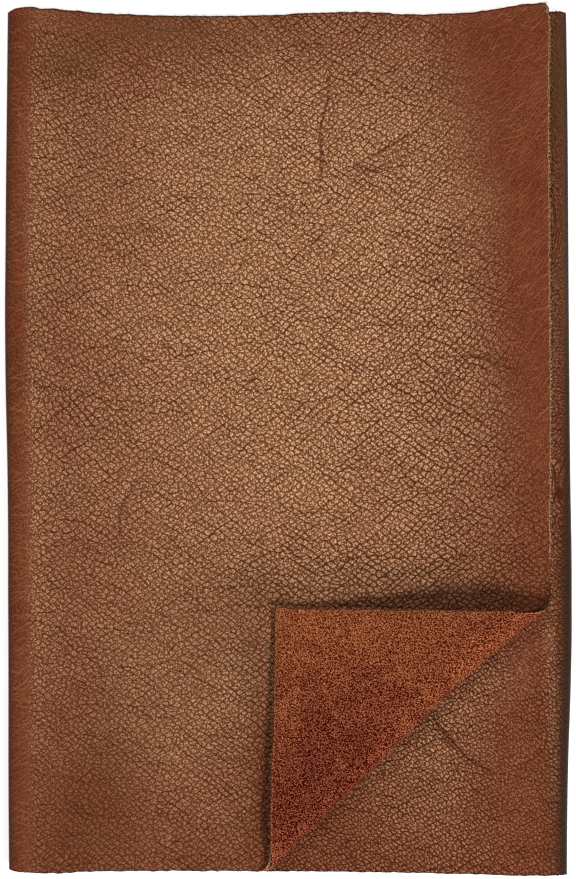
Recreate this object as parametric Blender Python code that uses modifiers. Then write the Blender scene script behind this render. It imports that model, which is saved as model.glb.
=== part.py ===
"""A piece of soft pebbled leather, folded in three like a letter, one corner of its top third turned back.

The sheet is drawn flat first, as it was cut: "along" runs from the left fold, positive over the top third
and negative under it, and "across" runs up the folds. Each point is then carried to where it lies.
Sizes are millimetres here and metres in the mesh. +Z is up, +Y runs along the two folds.
"""

import math

import bmesh
import bpy
import numpy as np
from mathutils import Vector

MM = 0.001

# The sheet, and how it lies on itself
THICKNESS = 1.6
AIR = 0.4  # between two thirds that rest on each other
STEP_UP = THICKNESS + AIR
LOFT = 0.6  # how much the top third floats where it is slack
BASE = THICKNESS / 2  # height of the bottom third's middle

# The two folds are half ellipses: half width across, half height
LEFT_FOLD_WIDE = 5.0
LEFT_FOLD_HIGH = 2.7
LEFT_FOLD_RUN = 62.0  # how far the top third takes to settle beside the left fold
RIGHT_FOLD_WIDE = 4.2
RIGHT_FOLD_HIGH = 2.6
RIGHT_FOLD_RUN = 58.0

BOTTOM_THIRD = 188.6  # between the two folds
MIDDLE_THIRD = 182.0  # from the right fold to its hidden edge

# Outer faces of the two folds: across, left fold's x, right fold's x
FOLDS = (
    (151.0, -99.3, 98.6),
    (113.0, -99.7, 99.1),
    (70.0, -100.1, 99.4),
    (28.0, -100.2, 99.7),
    (-14.0, -99.4, 100.1),
    (-57.0, -99.2, 100.6),
    (-85.0, -99.1, 100.3),
    (-113.0, -99.1, 99.4),
    (-151.0, -98.9, 98.9),
)

# Top and bottom cut edges, by hand and uneven: along, bottom y, top y
CUT_EDGES = (
    (-390.0, -152.6, 150.2),
    (-310.0, -153.0, 150.1),
    (-260.0, -153.5, 150.0),
    (-232.0, -153.9, 150.3),
    (-212.0, -154.35, 151.1),
    (-202.0, -154.1, 151.6),
    (-192.0, -153.6, 150.6),
    (-100.0, -152.0, 149.4),
    (-12.0, -152.2, 150.2),
    (0.0, -152.1, 151.3),
    (5.0, -152.9, 152.9),
    (12.0, -153.3, 152.7),
    (30.0, -152.8, 151.2),
    (45.0, -152.7, 150.4),
    (65.0, -152.6, 150.0),
    (95.0, -152.8, 150.3),
    (132.0, -153.4, 151.1),
    (142.0, -153.3, 150.5),
    (153.0, -153.4, 150.7),
    (168.0, -153.6, 151.5),
    (182.0, -153.7, 153.6),
    (193.0, -153.7, 154.4),
)

# Free edge of the top third: across, x
FREE_EDGE = (
    (154.0, 90.9),
    (148.0, 91.8),
    (138.0, 91.9),
    (120.0, 91.8),
    (85.0, 91.9),
    (50.0, 92.1),
    (14.0, 92.4),
    (-30.0, 92.2),
    (-56.0, 92.0),
    (-76.0, 90.3),
    (-102.0, 87.9),
    (-127.0, 86.7),
    (-154.0, 86.8),
)

# The turned corner: its fold runs from A on the free edge to B on the bottom edge
CORNER_A = (91.9, -56.8)
CORNER_B = (-6.7, -152.2)
CORNER_WIDE = 1.7  # half the roll's width, as a share of half its height
CORNER_RUN = 62.0  # how far the flap takes to come down from the roll

# The roll of the corner's fold: share of the way from A to B, how far it bows out, half its height
CORNER_ROLL = (
    (0.0, 1.3, 4.2),
    (0.12, 0.5, 4.0),
    (0.3, -0.7, 3.5),
    (0.5, -0.4, 3.1),
    (0.75, 0.0, 2.7),
    (1.0, 0.2, 2.3),
)

# Soft swells of the top third and of the middle third that shows under the corner:
# x, y, half length, half width, turn in degrees, rise
TOP_SWELLS = (
    (20.0, 20.0, 150.0, 75.0, 90.0, 1.6),
    (-72.0, 100.0, 60.0, 16.0, 80.0, 0.8),
    (-60.0, 138.0, 22.0, 10.0, 15.0, -0.5),
    (-80.0, -130.0, 42.0, 9.0, 72.0, -0.5),
    (-88.0, -60.0, 70.0, 9.0, 90.0, 0.5),
    (60.0, -45.0, 55.0, 12.0, 4.0, -0.5),
)
MIDDLE_SWELLS = (
    (66.0, -92.0, 22.0, 12.0, 50.0, 0.9),
    (50.0, -122.0, 26.0, 13.0, 75.0, 1.1),
    (84.0, -108.0, 26.0, 9.0, 35.0, 0.4),
)

# Steps of the mesh
ROWS = 32
MIDDLE_STEPS = 16
FOLD_STEPS = 12
BOTTOM_STEPS = 6
TOP_STEPS = 24
CORNER_STEPS = 9
SNAP = 0.5  # a bend line takes over mesh points nearer than this


def quarter(wide, high):
    """Length of a quarter of an ellipse."""
    return math.pi / 2 * np.sqrt((wide**2 + high**2) / 2)


LEFT_QUARTER = quarter(LEFT_FOLD_WIDE, LEFT_FOLD_HIGH)
RIGHT_QUARTER = quarter(RIGHT_FOLD_WIDE, RIGHT_FOLD_HIGH)
BOTTOM_ENDS = -LEFT_QUARTER - BOTTOM_THIRD  # where the right fold starts, along the sheet
MIDDLE_STARTS = BOTTOM_ENDS - 2 * RIGHT_QUARTER
HIDDEN_EDGE = MIDDLE_STARTS - MIDDLE_THIRD


def read(table, column, at):
    """A column of a table at any place, on a smooth curve through its rows."""
    rows = np.array(sorted(table))
    places, values = rows[:, 0], rows[:, column]
    slopes = np.gradient(values, places)
    i = np.clip(np.searchsorted(places, at) - 1, 0, len(places) - 2)
    span = places[i + 1] - places[i]
    k = np.clip((at - places[i]) / span, 0, 1)
    start = values[i] + slopes[i] * span * k
    end = values[i + 1] - slopes[i + 1] * span * (1 - k)
    ease = k * k * (3 - 2 * k)
    return start * (1 - ease) + end * ease


def settle(distance, run):
    """1 at a fold, falling softly to 0 at the end of its run."""
    return (1 + np.cos(np.pi * np.clip(distance / run, 0, 1))) / 2


def swell(table, x, y):
    """Sum of the soft rises and dips of a table at x, y."""
    rise = 0.0
    for centre_x, centre_y, half_length, half_width, turn, height in table:
        angle = math.radians(turn)
        dx, dy = x - centre_x, y - centre_y
        lengthwise = (dx * math.cos(angle) + dy * math.sin(angle)) / half_length
        sideways = (dy * math.cos(angle) - dx * math.sin(angle)) / half_width
        rise = rise + height * np.exp(-(lengthwise**2) - sideways**2)
    return rise


def fold_faces(y):
    """Where the top third leaves the left fold and the middle third leaves the right one."""
    left = read(FOLDS, 1, y) + THICKNESS / 2 + LEFT_FOLD_WIDE
    right = read(FOLDS, 2, y) - THICKNESS / 2 - RIGHT_FOLD_WIDE
    return left, right


def middle_height(x, y):
    _, right = fold_faces(y)
    lift = (2 * RIGHT_FOLD_HIGH - STEP_UP) * settle(right - x, RIGHT_FOLD_RUN)
    return BASE + STEP_UP + lift + swell(MIDDLE_SWELLS, x, y)


def top_height(x, y):
    """The top third rests on the middle one, and comes down to it from the left fold."""
    left, right = fold_faces(y)
    settled = 2 * STEP_UP + LOFT + swell(TOP_SWELLS, x, y)
    settled = settled + (2 * RIGHT_FOLD_HIGH - STEP_UP) * settle(right - x, RIGHT_FOLD_RUN)
    near_fold = settle(x - left, LEFT_FOLD_RUN)
    return BASE + 2 * LEFT_FOLD_HIGH * near_fold + settled * (1 - near_fold)


def corner_frame():
    """The corner's fold: its start, unit vectors along and out of it, and its length."""
    start = np.array(CORNER_A)
    run = np.array(CORNER_B) - start
    length = np.hypot(*run)
    along = run / length
    out = np.array((-along[1], along[0]))
    return start, along, out, length


def corner_roll(share):
    """Where the roll begins, its half width, half height and length, at a share of the way from A to B."""
    high = read(CORNER_ROLL, 2, share)
    wide = CORNER_WIDE * high
    begins = read(CORNER_ROLL, 1, share) - wide - THICKNESS / 2
    return begins, wide, high, 2 * quarter(wide, high)


def turn_corner(x, y):
    """Turns back what lies past the corner's fold: new x and y, and the height above the top third."""
    start, along, out, length = corner_frame()
    dx, dy = x - start[0], y - start[1]
    share = (dx * along[0] + dy * along[1]) / length
    past = dx * out[0] + dy * out[1]
    begins, wide, high, roll = corner_roll(share)
    into = np.clip(past - begins, 0, None)
    angle = np.pi * np.clip(into / roll, 0, 1)
    back = np.clip(into - roll, 0, None)
    turned = begins + wide * np.sin(angle) - back
    rise = high * (1 - np.cos(angle))
    rise = np.where(back > 0, STEP_UP + (2 * high - STEP_UP) * settle(back, CORNER_RUN), rise)
    move = np.where(into > 0, turned - past, 0)
    return x + move * out[0], y + move * out[1], rise


def place(along, across):
    """Carries points of the flat cut to where they lie."""
    left, right = fold_faces(across)

    # Bottom third, flat on what the leather lies on
    share = np.clip((-LEFT_QUARTER - along) / BOTTOM_THIRD, 0, 1)
    x = left + (right - left) * share
    z = np.full_like(x, BASE)
    y = across.copy()

    in_left = np.abs(along) < LEFT_QUARTER
    angle = np.pi / 2 * along / LEFT_QUARTER
    x = np.where(in_left, left - LEFT_FOLD_WIDE * np.cos(angle), x)
    z = np.where(in_left, BASE + LEFT_FOLD_HIGH * (1 + np.sin(angle)), z)

    in_right = (along < BOTTOM_ENDS) & (along > MIDDLE_STARTS)
    angle = np.pi / 2 * ((BOTTOM_ENDS - along) / RIGHT_QUARTER - 1)
    x = np.where(in_right, right + RIGHT_FOLD_WIDE * np.cos(angle), x)
    z = np.where(in_right, BASE + RIGHT_FOLD_HIGH * (1 + np.sin(angle)), z)

    in_middle = along <= MIDDLE_STARTS
    inward = right - (MIDDLE_STARTS - along)
    x = np.where(in_middle, inward, x)
    z = np.where(in_middle, middle_height(inward, across), z)

    in_top = along >= LEFT_QUARTER
    turned_x, turned_y, rise = turn_corner(left + along - LEFT_QUARTER, across)
    x = np.where(in_top, turned_x, x)
    y = np.where(in_top, turned_y, y)
    z = np.where(in_top, top_height(turned_x, turned_y) + rise, z)
    return x, y, z


def columns():
    """Where the mesh's columns lie along the cut, as far as the left fold's end on the top third."""
    stretches = (
        (HIDDEN_EDGE, MIDDLE_STARTS, MIDDLE_STEPS),
        (MIDDLE_STARTS, BOTTOM_ENDS, FOLD_STEPS),
        (BOTTOM_ENDS, -LEFT_QUARTER, BOTTOM_STEPS),
        (-LEFT_QUARTER, LEFT_QUARTER, FOLD_STEPS),
    )
    places = [np.linspace(start, end, steps, endpoint=False) for start, end, steps in stretches]
    return np.concatenate(places)


def flat_cut(bm):
    """A grid shaped to the flat cut: columns follow the thirds and folds, rows follow the cut edges."""
    before_top = columns()
    across_steps = len(before_top) + TOP_STEPS
    bmesh.ops.create_grid(bm, x_segments=across_steps, y_segments=ROWS, size=0.5)
    for vert in bm.verts:
        column = round((vert.co.x + 0.5) * across_steps)
        row = (vert.co.y + 0.5) * ROWS
        height = (row / ROWS - 0.5) * 2 * FREE_EDGE[0][0]
        left, _ = fold_faces(height)
        free = read(FREE_EDGE, 1, height) - left + LEFT_QUARTER
        if column < len(before_top):
            along = before_top[column]
        else:
            share = (column - len(before_top)) / TOP_STEPS
            along = LEFT_QUARTER + (free - LEFT_QUARTER) * share
        low, high = read(CUT_EDGES, 1, along), read(CUT_EDGES, 2, along)
        vert.co = (along, low + (high - low) * row / ROWS, 0)


def score_corner(bm):
    """Cuts mesh lines where the corner's roll bends, so that it turns in even steps."""
    start, along, out, length = corner_frame()
    end = start + along * length
    left, _ = fold_faces(np.mean((start[1], end[1])))
    to_cut = np.array((LEFT_QUARTER - left, 0))
    for step in range(CORNER_STEPS + 1):
        points = []
        for point, share in ((start, 0), (end, 1)):
            begins, _, _, roll = corner_roll(share)
            points.append(point + to_cut + out * (begins + roll * step / CORNER_STEPS))
        line = points[1] - points[0]
        top_faces = [f for f in bm.faces if f.calc_center_median().x > LEFT_QUARTER]
        edges = {e for f in top_faces for e in f.edges}
        verts = {v for f in top_faces for v in f.verts}
        bmesh.ops.bisect_plane(
            bm,
            geom=top_faces + list(edges) + list(verts),
            dist=SNAP,
            plane_co=(*points[0], 0),
            plane_no=(-line[1], line[0], 0),
        )


def leather(name, colour, roughness):
    material = bpy.data.materials.new(name)
    material.use_nodes = True
    shader = material.node_tree.nodes["Principled BSDF"]
    shader.inputs["Base Color"].default_value = (*colour, 1)
    shader.inputs["Roughness"].default_value = roughness
    shader.inputs["Metallic"].default_value = 0
    return material


def hide_sheet():
    """The whole leather: the cut, carried to its folds and given its thickness."""
    bm = bmesh.new()
    flat_cut(bm)
    score_corner(bm)
    bmesh.ops.triangulate(bm, faces=[f for f in bm.faces if len(f.verts) > 4])
    flat = np.array([v.co[:2] for v in bm.verts])
    placed = np.column_stack(place(flat[:, 0], flat[:, 1])) * MM
    for vert, spot in zip(bm.verts, placed):
        vert.co = Vector(spot)
    mesh = bpy.data.meshes.new("hide")
    bm.to_mesh(mesh)
    bm.free()
    mesh.shade_smooth()
    mesh.materials.append(leather("grain_side", (0.20, 0.085, 0.045), 0.45))
    mesh.materials.append(leather("suede_side", (0.17, 0.050, 0.020), 0.95))
    sheet = bpy.data.objects.new("hide", mesh)
    thick = sheet.modifiers.new("Thickness", "SOLIDIFY")
    thick.thickness = THICKNESS * MM
    thick.offset = 0
    thick.material_offset = 1
    thick.material_offset_rim = 1
    return sheet


def main():
    for old in list(bpy.data.objects):
        bpy.data.objects.remove(old, do_unlink=True)
    collection = bpy.data.collections.new("leather_hide")
    bpy.context.scene.collection.children.link(collection)
    collection.objects.link(hide_sheet())


main()
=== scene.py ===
# %% [markdown]
# # A leather hide, folded in three
#
# This lesson dresses one piece of soft, pebbled leather. It lies folded like a letter, and the lower right
# corner of its top third is turned back, so that the suede side shows.
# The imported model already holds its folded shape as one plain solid. Here the same sheet is made again in a
# finer mesh, and it gets its creases, raw cut edges, grain, suede nap and loose fibres.

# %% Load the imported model
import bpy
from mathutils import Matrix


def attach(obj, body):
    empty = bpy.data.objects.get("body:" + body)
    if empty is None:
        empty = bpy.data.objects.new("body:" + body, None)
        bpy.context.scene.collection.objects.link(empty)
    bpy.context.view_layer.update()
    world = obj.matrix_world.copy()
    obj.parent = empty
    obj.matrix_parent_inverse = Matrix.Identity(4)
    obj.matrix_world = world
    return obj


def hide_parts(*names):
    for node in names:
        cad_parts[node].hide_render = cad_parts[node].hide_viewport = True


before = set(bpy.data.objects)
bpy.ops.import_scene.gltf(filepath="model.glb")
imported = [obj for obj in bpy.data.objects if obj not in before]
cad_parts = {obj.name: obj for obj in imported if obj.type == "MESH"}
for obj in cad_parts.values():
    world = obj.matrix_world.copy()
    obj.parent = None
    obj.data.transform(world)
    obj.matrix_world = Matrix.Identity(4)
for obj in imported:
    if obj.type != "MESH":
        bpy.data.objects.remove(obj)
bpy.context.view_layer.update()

# %% Other modules, and millimetres
import math

import bmesh
import bpy
import numpy as np

MM = 0.001

# %% [markdown]
# ## The flat cut
#
# The real sheet is cut by hand from a hide, about 580 by 305 mm and 1.6 mm thick.
# A cloth simulation could fold it, but its folds would fall where they like. So the sheet is drawn flat,
# and a rule carries each point to where it lies. "Along" runs from the left fold, positive over the top
# third and negative under it, and "across" runs up the folds.
# Tables and rules are in millimetres, the mesh in metres.

# %% Sizes of the sheet and of its two folds
THICKNESS = 1.6
AIR = 0.4  # gap between two thirds
STEP_UP = THICKNESS + AIR
LOFT = 0.6  # how much higher the top third floats
BASE = THICKNESS / 2  # height of the middle of the leather where it lies on the table

# Half width and half height of each fold, and how far from it the leather is settled
LEFT_FOLD_WIDE = 5.0
LEFT_FOLD_HIGH = 2.7
LEFT_FOLD_RUN = 62.0
RIGHT_FOLD_WIDE = 4.2
RIGHT_FOLD_HIGH = 2.6
RIGHT_FOLD_RUN = 58.0

BOTTOM_THIRD = 188.6
MIDDLE_THIRD = 182.0

# Outer faces of the folds: across, left fold's x, right fold's x
FOLDS = (
    (151.0, -99.3, 98.6),
    (113.0, -99.7, 99.1),
    (70.0, -100.1, 99.4),
    (28.0, -100.2, 99.7),
    (-14.0, -99.4, 100.1),
    (-57.0, -99.2, 100.6),
    (-85.0, -99.1, 100.3),
    (-113.0, -99.1, 99.4),
    (-151.0, -98.9, 98.9),
)

# Cut edges: along, bottom y, top y
CUT_EDGES = (
    (-390.0, -152.6, 150.2),
    (-310.0, -153.0, 150.1),
    (-260.0, -153.5, 150.0),
    (-232.0, -153.9, 150.3),
    (-212.0, -154.35, 151.1),
    (-202.0, -154.1, 151.6),
    (-192.0, -153.6, 150.6),
    (-100.0, -152.0, 149.4),
    (-12.0, -152.2, 150.2),
    (0.0, -152.1, 151.3),
    (5.0, -152.9, 152.9),
    (12.0, -153.3, 152.7),
    (30.0, -152.8, 151.2),
    (45.0, -152.7, 150.4),
    (65.0, -152.6, 150.0),
    (95.0, -152.8, 150.3),
    (132.0, -153.4, 151.1),
    (142.0, -153.3, 150.5),
    (153.0, -153.4, 150.7),
    (168.0, -153.6, 151.5),
    (182.0, -153.7, 153.6),
    (193.0, -153.7, 154.4),
)

# Free edge of the top third: across, x
FREE_EDGE = (
    (154.0, 90.9),
    (148.0, 91.8),
    (138.0, 91.9),
    (120.0, 91.8),
    (85.0, 91.9),
    (50.0, 92.1),
    (14.0, 92.4),
    (-30.0, 92.2),
    (-56.0, 92.0),
    (-76.0, 90.3),
    (-102.0, 87.9),
    (-127.0, 86.7),
    (-154.0, 86.8),
)

# %% Sizes of the turned corner
CORNER_A = (91.9, -56.8)
CORNER_B = (-6.7, -152.2)
CORNER_WIDE = 1.7  # how many times wider than high the roll is
CORNER_RUN = 62.0

# Roll of the corner's fold: share of the way from A to B, how far it bows out, half its height
CORNER_ROLL = (
    (0.0, 1.3, 4.2),
    (0.12, 0.5, 4.0),
    (0.3, -0.7, 3.5),
    (0.5, -0.4, 3.1),
    (0.75, 0.0, 2.7),
    (1.0, 0.2, 2.3),
)

# %% Soft swells of the thirds: x, y, half length, half width, turn in degrees, rise
TOP_SWELLS = (
    (20.0, 20.0, 150.0, 75.0, 90.0, 1.6),
    (-72.0, 100.0, 60.0, 16.0, 80.0, 0.8),
    (-60.0, 138.0, 22.0, 10.0, 15.0, -0.5),
    (-80.0, -130.0, 42.0, 9.0, 72.0, -0.5),
    (-88.0, -60.0, 70.0, 9.0, 90.0, 0.5),
    (60.0, -45.0, 55.0, 12.0, 4.0, -0.5),
)
MIDDLE_SWELLS = (
    (66.0, -92.0, 22.0, 12.0, 50.0, 0.9),
    (50.0, -122.0, 26.0, 13.0, 75.0, 1.1),
    (84.0, -108.0, 26.0, 9.0, 35.0, 0.4),
)


# %% [markdown]
# ## The rules that fold it
#
# Each fold is half an ellipse, and past it the leather settles softly, because thick leather springs back.
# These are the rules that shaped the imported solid, so the fine sheet lies exactly where that solid lies.


# %% Reading a table on a smooth curve
def read(table, column, at):
    """A column of a table at any place, on a smooth curve through its rows."""
    rows = np.array(sorted(table))
    places, values = rows[:, 0], rows[:, column]
    slopes = np.gradient(values, places)
    i = np.clip(np.searchsorted(places, at) - 1, 0, len(places) - 2)
    span = places[i + 1] - places[i]
    k = np.clip((at - places[i]) / span, 0, 1)
    start = values[i] + slopes[i] * span * k
    end = values[i + 1] - slopes[i + 1] * span * (1 - k)
    ease = k * k * (3 - 2 * k)
    return start * (1 - ease) + end * ease


def quarter(wide, high):
    """Length of a quarter of an ellipse."""
    return math.pi / 2 * np.sqrt((wide**2 + high**2) / 2)


LEFT_QUARTER = quarter(LEFT_FOLD_WIDE, LEFT_FOLD_HIGH)
RIGHT_QUARTER = quarter(RIGHT_FOLD_WIDE, RIGHT_FOLD_HIGH)
BOTTOM_ENDS = -LEFT_QUARTER - BOTTOM_THIRD
MIDDLE_STARTS = BOTTOM_ENDS - 2 * RIGHT_QUARTER
HIDDEN_EDGE = MIDDLE_STARTS - MIDDLE_THIRD
print(f"left fold takes {2 * LEFT_QUARTER:.1f} mm of leather, right fold {2 * RIGHT_QUARTER:.1f} mm")


# %% Settling, swelling, and where the folds end
def settle(distance, run):
    """1 at a fold, falling softly to 0 at the end of its run."""
    return (1 + np.cos(np.pi * np.clip(distance / run, 0, 1))) / 2


def swell(table, x, y):
    """Sum of the soft patches of a table at x, y."""
    rise = np.zeros_like(x)
    for centre_x, centre_y, half_length, half_width, turn, height in table:
        angle = math.radians(turn)
        dx, dy = x - centre_x, y - centre_y
        lengthwise = (dx * math.cos(angle) + dy * math.sin(angle)) / half_length
        sideways = (dy * math.cos(angle) - dx * math.sin(angle)) / half_width
        rise = rise + height * np.exp(-(lengthwise**2) - sideways**2)
    return rise


def fold_faces(y):
    """Where the top third leaves the left fold and the middle third leaves the right one."""
    left = read(FOLDS, 1, y) + THICKNESS / 2 + LEFT_FOLD_WIDE
    right = read(FOLDS, 2, y) - THICKNESS / 2 - RIGHT_FOLD_WIDE
    return left, right


# %% [markdown]
# ## Creases
#
# Handling leaves a few long creases that run across many pebbles: a forked one near the top, some short
# ones at the left and right, and a deep one beside the turned corner. They are pressed into the mesh as
# soft troughs. Each point of the mesh also keeps its distance to the nearest crease, so that the finish can
# paint the shade at the bottom of the trough as a thin dark line later.

# %% The creases: depth, half width, darkness of the line, and the points it runs through
TOP_CREASES = (
    (0.45, 2.6, 0.8, ((14.9, 134.0), (13.8, 120.0), (11.3, 109.4), (12.0, 98.8), (9.9, 86.0))),
    (0.40, 2.2, 0.8, ((20.2, 95.3), (36.0, 104.0), (55.7, 115.7))),
    (0.35, 2.0, 0.6, ((21.9, 93.5), (36.0, 98.0), (52.2, 106.9))),
    (0.35, 2.0, 0.7, ((-52.4, -13.0), (-57.0, -20.0), (-59.4, -26.9), (-59.0, -36.5))),
    (0.40, 2.0, 0.8, ((52.0, 29.2), (67.5, 29.2), (74.3, 26.3), (83.0, 25.6))),
    (0.45, 4.5, 0.1, ((-76.0, -106.0), (-78.0, -125.0), (-83.0, -147.0))),
    (0.50, 5.0, 0.1, ((-76.0, 146.0), (-70.0, 143.0), (-63.0, 140.0))),
)
MIDDLE_CREASES = (
    (0.75, 3.0, 1.0, ((46.0, -92.0), (58.0, -106.5), (67.2, -115.1), (73.5, -119.0))),
    (0.35, 3.0, 0.25, ((70.0, -118.4), (80.0, -117.0), (88.0, -111.0), (97.0, -104.0))),
    (-0.45, 3.0, 0.0, ((48.0, -101.0), (60.0, -116.0), (68.0, -130.0), (64.4, -142.6))),
    (0.30, 2.5, 0.4, ((56.0, -112.0), (66.0, -124.0), (71.0, -134.0))),
)
CREASE_REACH = 3.0  # mm from a crease within which its line may be drawn
CREASE_TIPS = 0.02  # share of a crease at each end that is as faint as its tip
CREASE_SWELL = 0.6  # the lower, the sooner a crease is deep behind its tip
PATH_STEPS = 24


def distance_to(path, x, y):
    """Signed distance from each point to a path, and how far along the path the nearest spot is, 0 to 1."""
    lengths = np.hypot(*np.diff(path, axis=0).T)
    begins = np.concatenate(([0], np.cumsum(lengths)))
    best = np.full(x.shape, np.inf)
    side = np.ones(x.shape)
    share = np.zeros(x.shape)
    for start, end, begin, length in zip(path[:-1], path[1:], begins, lengths):
        ux, uy = (end - start) / length
        dx, dy = x - start[0], y - start[1]
        reached = np.clip(dx * ux + dy * uy, 0, length)
        gap = np.hypot(dx - reached * ux, dy - reached * uy)
        nearer = gap < best
        best = np.where(nearer, gap, best)
        side = np.where(nearer, np.sign(dx * uy - dy * ux), side)
        share = np.where(nearer, (begin + reached) / begins[-1], share)
    return best * side, share


def crease_field(creases, x, y):
    """How deep the creases press, the signed distance to the nearest one, and how dark its line is."""
    dip = np.zeros_like(x)
    nearest = np.full_like(x, CREASE_REACH)
    dark = np.zeros_like(x)
    for depth, half_width, line, points in creases:
        table = [(i, *point) for i, point in enumerate(points)]
        at = np.linspace(0, len(points) - 1, PATH_STEPS)
        path = np.column_stack((read(table, 1, at), read(table, 2, at)))
        gap, share = distance_to(path, x, y)
        fade = np.sin(np.pi * np.clip(share, CREASE_TIPS, 1 - CREASE_TIPS)) ** CREASE_SWELL
        dip = dip + depth * fade * np.exp(-((gap / half_width) ** 2))
        closer = np.abs(gap) < np.abs(nearest)
        nearest = np.where(closer, gap, nearest)
        dark = np.where(closer, line * fade, dark)
    return dip, nearest, dark


# %% Heights of the middle and top thirds
def middle_height(x, y):
    _, right = fold_faces(y)
    lift = (2 * RIGHT_FOLD_HIGH - STEP_UP) * settle(right - x, RIGHT_FOLD_RUN)
    return BASE + STEP_UP + lift + swell(MIDDLE_SWELLS, x, y)


def top_height(x, y):
    """The top third rests on the middle one, and comes down to it from the left fold."""
    left, right = fold_faces(y)
    settled = 2 * STEP_UP + LOFT + swell(TOP_SWELLS, x, y)
    settled = settled + (2 * RIGHT_FOLD_HIGH - STEP_UP) * settle(right - x, RIGHT_FOLD_RUN)
    near_fold = settle(x - left, LEFT_FOLD_RUN)
    return BASE + 2 * LEFT_FOLD_HIGH * near_fold + settled * (1 - near_fold)


# %% Turning the corner back
def corner_frame():
    """The corner's fold: its start, unit vectors along and out of it, and its length."""
    start = np.array(CORNER_A)
    run = np.array(CORNER_B) - start
    length = np.hypot(*run)
    along = run / length
    out = np.array((-along[1], along[0]))
    return start, along, out, length


def corner_roll(share):
    """Where the roll begins, its half width, half height and length, at a share of the way from A to B."""
    high = read(CORNER_ROLL, 2, share)
    wide = CORNER_WIDE * high
    begins = read(CORNER_ROLL, 1, share) - wide - THICKNESS / 2
    return begins, wide, high, 2 * quarter(wide, high)


def turn_corner(x, y):
    """Turns back what lies past the corner's fold: new x and y, and the height above the top third."""
    start, along, out, length = corner_frame()
    dx, dy = x - start[0], y - start[1]
    share = (dx * along[0] + dy * along[1]) / length
    past = dx * out[0] + dy * out[1]
    begins, wide, high, roll = corner_roll(share)
    into = np.clip(past - begins, 0, None)
    angle = np.pi * np.clip(into / roll, 0, 1)
    back = np.clip(into - roll, 0, None)
    turned = begins + wide * np.sin(angle) - back
    rise = high * (1 - np.cos(angle))
    rise = np.where(back > 0, STEP_UP + (2 * high - STEP_UP) * settle(back, CORNER_RUN), rise)
    move = np.where(into > 0, turned - past, 0)
    return x + move * out[0], y + move * out[1], rise


# %% Carrying the cut to where it lies
def place(along, across):
    """Carries points of the flat cut to where they lie."""
    left, right = fold_faces(across)

    # Bottom third, flat on what the leather lies on
    share = np.clip((-LEFT_QUARTER - along) / BOTTOM_THIRD, 0, 1)
    x = left + (right - left) * share
    z = np.full_like(x, BASE)
    y = across.copy()

    in_left = np.abs(along) < LEFT_QUARTER
    angle = np.pi / 2 * along / LEFT_QUARTER
    x = np.where(in_left, left - LEFT_FOLD_WIDE * np.cos(angle), x)
    z = np.where(in_left, BASE + LEFT_FOLD_HIGH * (1 + np.sin(angle)), z)

    in_right = (along < BOTTOM_ENDS) & (along > MIDDLE_STARTS)
    angle = np.pi / 2 * ((BOTTOM_ENDS - along) / RIGHT_QUARTER - 1)
    x = np.where(in_right, right + RIGHT_FOLD_WIDE * np.cos(angle), x)
    z = np.where(in_right, BASE + RIGHT_FOLD_HIGH * (1 + np.sin(angle)), z)

    in_middle = along <= MIDDLE_STARTS
    inward = right - (MIDDLE_STARTS - along)
    dip, _, _ = crease_field(MIDDLE_CREASES, inward, across)
    x = np.where(in_middle, inward, x)
    z = np.where(in_middle, middle_height(inward, across) - dip, z)

    in_top = along >= LEFT_QUARTER
    turned_x, turned_y, rise = turn_corner(left + along - LEFT_QUARTER, across)
    dip, _, _ = crease_field(TOP_CREASES, turned_x, turned_y)
    x = np.where(in_top, turned_x, x)
    y = np.where(in_top, turned_y, y)
    z = np.where(in_top, top_height(turned_x, turned_y) + rise - dip, z)
    return x, y, z


# %% [markdown]
# ## The fine sheet
#
# A grid of cells about 1.5 mm wide on the faces that show, and wider where nobody looks, takes the shape of
# the flat cut. Solidify would do for the thickness alone, but the cut edge of real leather leans a little,
# because the knife does, and shows a raw tan rim from above. So after Solidify one rim is drawn in or out.


# %% Meshes and objects
def mesh_of(bm, name):
    """The mesh of a bmesh that is done with."""
    mesh = bpy.data.meshes.new(name)
    bm.to_mesh(mesh)
    bm.free()
    return mesh


def add_object(name, data):
    """A new object in the scene."""
    made = bpy.data.objects.new(name, data)
    bpy.context.scene.collection.objects.link(made)
    return made


def numbers(items, field, wide=1, kind=float):
    """One field of all points, corners or faces of a mesh, a row for each."""
    values = np.empty(len(items) * wide, dtype=kind)
    items.foreach_get(field, values)
    return values.reshape(-1, wide) if wide > 1 else values


def plain_mesh(piece, name):
    """The piece with its modifiers worked out, as a new object with a plain mesh."""
    graph = bpy.context.evaluated_depsgraph_get()
    mesh = bpy.data.meshes.new_from_object(piece.evaluated_get(graph))
    bpy.data.objects.remove(piece, do_unlink=True)
    mesh.name = name
    return add_object(name, mesh)


# %% Columns and rows of the grid
MIDDLE_SHOWN = 106.0  # mm of the middle third that get fine cells
SHOWN_FROM = MIDDLE_STARTS - MIDDLE_SHOWN

# Stretches of the cut under the top third: from, to, steps
STRETCHES = (
    (HIDDEN_EDGE, SHOWN_FROM, 18),
    (SHOWN_FROM, MIDDLE_STARTS, 62),
    (MIDDLE_STARTS, BOTTOM_ENDS, 20),
    (BOTTOM_ENDS, -LEFT_QUARTER, 12),
    (-LEFT_QUARTER, LEFT_QUARTER, 26),
)
TOP_STEPS = 124
ROWS = 176
UNEVEN = 0.10  # mm by which the hand-cut edge wavers
WAVER_SEED = 5


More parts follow.
